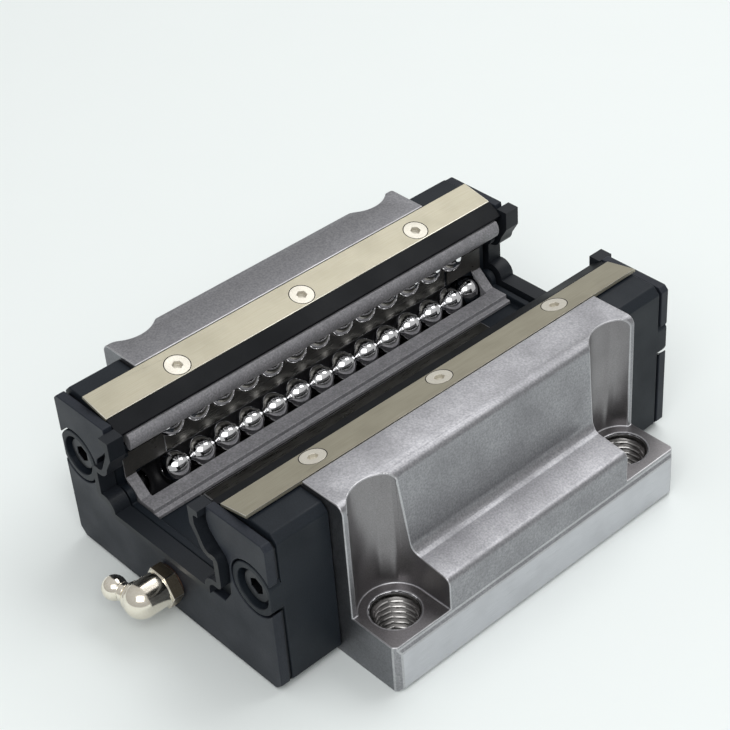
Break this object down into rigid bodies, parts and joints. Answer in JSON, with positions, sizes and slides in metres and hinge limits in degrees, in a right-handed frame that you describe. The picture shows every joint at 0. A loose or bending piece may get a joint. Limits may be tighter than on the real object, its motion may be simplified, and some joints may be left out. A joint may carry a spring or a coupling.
{
  "type": "linear guide carriage",
  "caption": "Flanged linear guide carriage for a profiled rail: steel body with tapped flanges, recirculating ball circuits, end caps with seals and an angled grease nipple.",
  "frame": {"origin": "centre of the ground mounting face, which faces down", "axes": "+Y along the rail away from the grease nipple, +X across the carriage, +Z away from the mounting face towards the rail"},
  "size_m": [0.12, 0.1521, 0.0487],
  "materials": {
    "body_steel": "shot-blasted satin, ground on the mounting faces",
    "cap_plastic": "moulded, fine texture",
    "seal_plastic": "moulded, satin",
    "lip_rubber": "matt",
    "backing_steel": "plain sheet",
    "end_screw_steel": "blackened",
    "strip_metal": "champagne, brushed along its length",
    "strip_screw_steel": "bright",
    "retainer_plastic": "grey, moulded",
    "holder_plastic": "black, moulded",
    "tube_plastic": "black",
    "guide_plastic": "grey, moulded",
    "ball_steel": "polished",
    "nipple_metal": "turned, bright",
    "spring_steel": "drawn wire",
    "washer_copper": "copper, dull",
    "plug_steel": "blackened"
  },
  "bodies": {
    "carriage": {"carriage_body": "body_steel", "front_end_cap": "cap_plastic", "rear_end_cap": "cap_plastic", "front_backing_plate": "backing_steel", "rear_backing_plate": "backing_steel", "front_seal_plate": "seal_plastic", "rear_seal_plate": "seal_plastic", "front_seal_lip": "lip_rubber", "rear_seal_lip": "lip_rubber", "front_cap_screws": "end_screw_steel", "rear_cap_screws": "end_screw_steel", "left_cover_strip": "strip_metal", "right_cover_strip": "strip_metal", "left_strip_screws": "strip_screw_steel", "right_strip_screws": "strip_screw_steel", "left_retainer_holder": "holder_plastic", "right_retainer_holder": "holder_plastic", "left_retainer_rod": "retainer_plastic", "right_retainer_rod": "retainer_plastic", "left_ball_retainer": "retainer_plastic", "right_ball_retainer": "retainer_plastic", "left_return_tubes": "tube_plastic", "right_return_tubes": "tube_plastic", "front_left_return_guides": "guide_plastic", "front_right_return_guides": "guide_plastic", "rear_left_return_guides": "guide_plastic", "rear_right_return_guides": "guide_plastic", "nipple_body": "nipple_metal", "nipple_spring": "spring_steel", "nipple_washer": "washer_copper", "rear_port_plug": "plug_steel"},
    "left_deep_load_row": {"left_deep_load_balls": "ball_steel"},
    "left_deep_return_row": {"left_deep_return_balls": "ball_steel"},
    "left_deep_front_turn": {"left_deep_front_turn_balls": "ball_steel"},
    "left_deep_rear_turn": {"left_deep_rear_turn_balls": "ball_steel"},
    "left_tip_load_row": {"left_tip_load_balls": "ball_steel"},
    "left_tip_return_row": {"left_tip_return_balls": "ball_steel"},
    "left_tip_front_turn": {"left_tip_front_turn_balls": "ball_steel"},
    "left_tip_rear_turn": {"left_tip_rear_turn_balls": "ball_steel"},
    "right_deep_load_row": {"right_deep_load_balls": "ball_steel"},
    "right_deep_return_row": {"right_deep_return_balls": "ball_steel"},
    "right_deep_front_turn": {"right_deep_front_turn_balls": "ball_steel"},
    "right_deep_rear_turn": {"right_deep_rear_turn_balls": "ball_steel"},
    "right_tip_load_row": {"right_tip_load_balls": "ball_steel"},
    "right_tip_return_row": {"right_tip_return_balls": "ball_steel"},
    "right_tip_front_turn": {"right_tip_front_turn_balls": "ball_steel"},
    "right_tip_rear_turn": {"right_tip_rear_turn_balls": "ball_steel"},
    "nipple_valve": {"nipple_check_ball": "ball_steel"}
  },
  "joints": [
    {"name": "left_deep_load_travel", "type": "slide", "parent": "carriage", "child": "left_deep_load_row", "axis": [0, 1, 0], "range_m": [-0.004, 0.004]},
    {"name": "left_deep_return_travel", "type": "slide", "parent": "carriage", "child": "left_deep_return_row", "axis": [0, 1, 0], "range_m": [-0.004, 0.004]},
    {"name": "left_deep_front_turn_travel", "type": "hinge", "parent": "carriage", "child": "left_deep_front_turn", "pos_m": [-0.0268, -0.0512, 0.01804], "axis": [-0.5779, 0, 0.8161], "range_deg": [-35.5, 35.5]},
    {"name": "left_deep_rear_turn_travel", "type": "hinge", "parent": "carriage", "child": "left_deep_rear_turn", "pos_m": [-0.0268, 0.0512, 0.01804], "axis": [-0.5779, 0, 0.8161], "range_deg": [-35.5, 35.5]},
    {"name": "left_tip_load_travel", "type": "slide", "parent": "carriage", "child": "left_tip_load_row", "axis": [0, 1, 0], "range_m": [-0.004, 0.004]},
    {"name": "left_tip_return_travel", "type": "slide", "parent": "carriage", "child": "left_tip_return_row", "axis": [0, 1, 0], "range_m": [-0.004, 0.004]},
    {"name": "left_tip_front_turn_travel", "type": "hinge", "parent": "carriage", "child": "left_tip_front_turn", "pos_m": [-0.02791, -0.0512, 0.03761], "axis": [0.1702, 0, 0.9854], "range_deg": [-35.5, 35.5]},
    {"name": "left_tip_rear_turn_travel", "type": "hinge", "parent": "carriage", "child": "left_tip_rear_turn", "pos_m": [-0.02791, 0.0512, 0.03761], "axis": [0.1702, 0, 0.9854], "range_deg": [-35.5, 35.5]},
    {"name": "right_deep_load_travel", "type": "slide", "parent": "carriage", "child": "right_deep_load_row", "axis": [0, 1, 0], "range_m": [-0.004, 0.004]},
    {"name": "right_deep_return_travel", "type": "slide", "parent": "carriage", "child": "right_deep_return_row", "axis": [0, 1, 0], "range_m": [-0.004, 0.004]},
    {"name": "right_deep_front_turn_travel", "type": "hinge", "parent": "carriage", "child": "right_deep_front_turn", "pos_m": [0.0268, -0.0512, 0.01804], "axis": [-0.5779, 0, -0.8161], "range_deg": [-35.5, 35.5]},
    {"name": "right_deep_rear_turn_travel", "type": "hinge", "parent": "carriage", "child": "right_deep_rear_turn", "pos_m": [0.0268, 0.0512, 0.01804], "axis": [-0.5779, 0, -0.8161], "range_deg": [-35.5, 35.5]},
    {"name": "right_tip_load_travel", "type": "slide", "parent": "carriage", "child": "right_tip_load_row", "axis": [0, 1, 0], "range_m": [-0.004, 0.004]},
    {"name": "right_tip_return_travel", "type": "slide", "parent": "carriage", "child": "right_tip_return_row", "axis": [0, 1, 0], "range_m": [-0.004, 0.004]},
    {"name": "right_tip_front_turn_travel", "type": "hinge", "parent": "carriage", "child": "right_tip_front_turn", "pos_m": [0.02791, -0.0512, 0.03761], "axis": [0.1702, 0, -0.9854], "range_deg": [-35.5, 35.5]},
    {"name": "right_tip_rear_turn_travel", "type": "hinge", "parent": "carriage", "child": "right_tip_rear_turn", "pos_m": [0.02791, 0.0512, 0.03761], "axis": [0.1702, 0, -0.9854], "range_deg": [-35.5, 35.5]},
    {"name": "nipple_valve_travel", "type": "slide", "parent": "carriage", "child": "nipple_valve", "axis": [0.9703, 0.2419, 0], "range_m": [0, 0.0004], "stiffness_N_per_m": 150, "springref_m": -0.0005}
  ],
  "couplings": [
    {"joint": "left_deep_return_travel", "follows": "left_deep_load_travel", "ratio": -1},
    {"joint": "left_deep_front_turn_travel", "follows": "left_deep_load_travel", "rad_per_m": 153.85},
    {"joint": "left_deep_rear_turn_travel", "follows": "left_deep_load_travel", "rad_per_m": 153.85},
    {"joint": "left_tip_return_travel", "follows": "left_tip_load_travel", "ratio": -1},
    {"joint": "left_tip_front_turn_travel", "follows": "left_tip_load_travel", "rad_per_m": 153.85},
    {"joint": "left_tip_rear_turn_travel", "follows": "left_tip_load_travel", "rad_per_m": 153.85},
    {"joint": "right_deep_return_travel", "follows": "right_deep_load_travel", "ratio": -1},
    {"joint": "right_deep_front_turn_travel", "follows": "right_deep_load_travel", "rad_per_m": 153.85},
    {"joint": "right_deep_rear_turn_travel", "follows": "right_deep_load_travel", "rad_per_m": 153.85},
    {"joint": "right_tip_return_travel", "follows": "right_tip_load_travel", "ratio": -1},
    {"joint": "right_tip_front_turn_travel", "follows": "right_tip_load_travel", "rad_per_m": 153.85},
    {"joint": "right_tip_rear_turn_travel", "follows": "right_tip_load_travel", "rad_per_m": 153.85}
  ]
}
